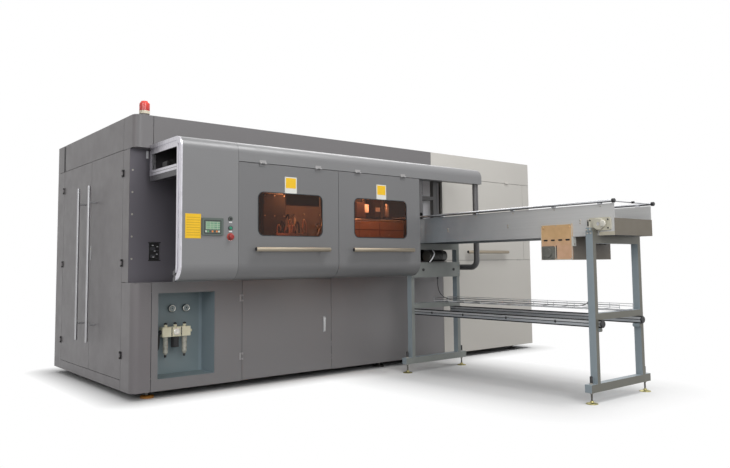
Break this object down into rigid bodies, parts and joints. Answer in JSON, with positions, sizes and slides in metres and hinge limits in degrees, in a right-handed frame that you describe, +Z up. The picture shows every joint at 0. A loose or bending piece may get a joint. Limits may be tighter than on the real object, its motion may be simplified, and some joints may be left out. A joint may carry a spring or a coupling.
{
  "type": "blow moulding machine",
  "caption": "Long sheet-metal blow moulding machine with a rounded lift-up hood, a blow clamp behind its windows, and an outfeed conveyor on leg frames.",
  "frame": {"origin": "on the floor, under the middle of the machine's overall box, conveyor included", "axes": "+X along the machine from the beacon end to the white preform module, +Y to the back, +Z up; the conveyor stands out towards -Y"},
  "size_m": [5.1526, 4.746, 2.441],
  "materials": {
    "grey_paint": "fine satin powder coat",
    "hood_paint": "fine satin powder coat",
    "dark_paint": "matt powder coat",
    "white_paint": "fine satin powder coat",
    "alcove_paint": "satin powder coat",
    "frame_paint": "matt powder coat",
    "black_paint": "satin black paint",
    "black_plastic": "moulded, matt",
    "trim_metal": "anodised, satin",
    "window_sheet": "clear polycarbonate",
    "red_lens": "glossy tinted lens",
    "beacon_shell": "moulded, matt",
    "green_plastic": "glossy",
    "red_plastic": "glossy",
    "panel_plastic": "moulded, matt",
    "leg_steel": "satin steel tube",
    "side_steel": "brushed sheet",
    "rail_steel": "bright tube",
    "belt_rubber": "matt belt",
    "taupe_paint": "satin paint",
    "tan_paint": "satin paint",
    "cream_casting": "painted casting",
    "motor_paint": "painted casting",
    "zinc_steel": "yellow zinc plate",
    "mould_alloy": "milled",
    "ground_steel": "ground and plated",
    "frame_steel": "satin paint",
    "cream_plastic": "glossy",
    "gauge_shell": "moulded, matt",
    "cable_rubber": "matt jacket"
  },
  "bodies": {
    "machine": {"air_receiver": "frame_steel", "air_unit": "cream_plastic", "alcove_liner": "alcove_paint", "base_frame": "frame_paint", "bay_frame": "frame_paint", "beacon_dome": "red_lens", "beacon_foot": "beacon_shell", "bearing_housings": "cream_casting", "cabinet_frame": "frame_paint", "cable_duct": "dark_paint", "cable_tray": "rail_steel", "clamp_frame": "frame_steel", "conveyor_belt": "belt_rubber", "conveyor_frame": "side_steel", "cover_sheets": "grey_paint", "drive_cable": "cable_rubber", "drive_covers": "taupe_paint", "drive_plate": "tan_paint", "end_caps": "black_plastic", "end_surround": "grey_paint", "front_panels": "grey_paint", "gear_motors": "motor_paint", "guide_rails": "rail_steel", "hinge_leaves": "black_paint", "hood_end_trim": "trim_metal", "hood_shell": "hood_paint", "leg_frames": "leg_steel", "levelling_feet": "zinc_steel", "lower_rails": "side_steel", "machine_bed": "frame_steel", "operator_panel": "panel_plastic", "preform_oven": "frame_steel", "pressure_gauges": "gauge_shell", "recess_wall": "dark_paint", "white_panels": "white_paint"},
    "front_end_door": {"end_door_front": "grey_paint", "end_bar_front": "rail_steel"},
    "rear_end_door": {"end_door_rear": "grey_paint", "end_bar_rear": "rail_steel"},
    "left_hood_door": {"hood_door_left": "hood_paint", "window_left": "window_sheet", "hood_bar_left": "rail_steel"},
    "right_hood_door": {"hood_door_right": "hood_paint", "window_right": "window_sheet", "hood_bar_right": "rail_steel"},
    "module_door": {"white_door": "white_paint", "white_bar": "rail_steel"},
    "service_door": {"lower_door": "grey_paint"},
    "service_lever": {"door_lever": "black_plastic"},
    "start_button": {"button_green": "green_plastic"},
    "reset_button": {"button_black": "black_plastic"},
    "emergency_button": {"stop_button": "red_plastic"},
    "pressure_knob": {"regulator_knob": "black_plastic"},
    "belt_drum": {"drive_drum": "ground_steel"},
    "return_drum": {"tail_drum": "ground_steel"},
    "front_half_mould": {"front_mould": "mould_alloy"},
    "rear_half_mould": {"rear_mould": "mould_alloy"},
    "stretch_unit": {"stretch_carriage": "ground_steel"},
    "base_lift": {"base_mould": "mould_alloy"},
    "preform_transport": {"transport_beam": "mould_alloy"}
  },
  "joints": [
    {"name": "front_end_door_hinge", "type": "hinge", "parent": "machine", "child": "front_end_door", "pos_m": [-2.50175, 0.485, 1.093], "axis": [0, 0, 1], "range_deg": [0, 110]},
    {"name": "rear_end_door_hinge", "type": "hinge", "parent": "machine", "child": "rear_end_door", "pos_m": [-2.50175, 2.15, 1.093], "axis": [0, 0, -1], "range_deg": [0, 110]},
    {"name": "left_hood_door_hinge", "type": "hinge", "parent": "machine", "child": "left_hood_door", "pos_m": [-1.389, -0.37, 1.8865], "axis": [-1, 0, 0], "range_deg": [0, 85]},
    {"name": "right_hood_door_hinge", "type": "hinge", "parent": "machine", "child": "right_hood_door", "pos_m": [-0.4035, -0.37, 1.8865], "axis": [-1, 0, 0], "range_deg": [0, 85]},
    {"name": "module_door_hinge", "type": "hinge", "parent": "machine", "child": "module_door", "pos_m": [1.73525, 0.235, 2.032], "axis": [-1, 0, 0], "range_deg": [0, 85]},
    {"name": "service_door_hinge", "type": "hinge", "parent": "machine", "child": "service_door", "pos_m": [-1.51275, 0.235, 0.524], "axis": [0, 0, -1], "range_deg": [0, 100]},
    {"name": "service_lever_turn", "type": "hinge", "parent": "service_door", "child": "service_lever", "pos_m": [-0.62675, 0.234, 0.545], "axis": [0, 1, 0], "range_deg": [0, 90]},
    {"name": "start_button_push", "type": "slide", "parent": "machine", "child": "start_button", "axis": [0, 1, 0], "range_m": [0, 0.003], "stiffness_N_per_m": 900},
    {"name": "reset_button_push", "type": "slide", "parent": "machine", "child": "reset_button", "axis": [0, 1, 0], "range_m": [0, 0.003], "stiffness_N_per_m": 900},
    {"name": "emergency_button_push", "type": "slide", "parent": "machine", "child": "emergency_button", "axis": [0, 1, 0], "range_m": [0, 0.005]},
    {"name": "pressure_knob_turn", "type": "hinge", "parent": "machine", "child": "pressure_knob", "pos_m": [-2.07175, 0.383, 0.43], "axis": [0, 0, 1], "range_deg": [-150, 150]},
    {"name": "belt_drum_turn", "type": "hinge", "parent": "machine", "child": "belt_drum", "pos_m": [0.48125, -2.231, 1.351], "axis": [1, 0, 0], "continuous": true},
    {"name": "return_drum_turn", "type": "hinge", "parent": "machine", "child": "return_drum", "pos_m": [0.48125, 0.673, 1.351], "axis": [1, 0, 0], "continuous": true},
    {"name": "front_mould_close", "type": "slide", "parent": "machine", "child": "front_half_mould", "axis": [0, 1, 0], "range_m": [0, 0.0598]},
    {"name": "rear_mould_close", "type": "slide", "parent": "machine", "child": "rear_half_mould", "axis": [0, -1, 0], "range_m": [0, 0.0598]},
    {"name": "stretch_unit_lower", "type": "slide", "parent": "machine", "child": "stretch_unit", "axis": [0, 0, -1], "range_m": [0, 0.3]},
    {"name": "base_lift_raise", "type": "slide", "parent": "machine", "child": "base_lift", "axis": [0, 0, 1], "range_m": [0, 0.03]},
    {"name": "preform_transport_move", "type": "slide", "parent": "machine", "child": "preform_transport", "axis": [1, 0, 0], "range_m": [0, 0.6]}
  ],
  "couplings": [
    {"joint": "return_drum_turn", "follows": "belt_drum_turn", "ratio": 1},
    {"joint": "rear_mould_close", "follows": "front_mould_close", "ratio": 1}
  ]
}
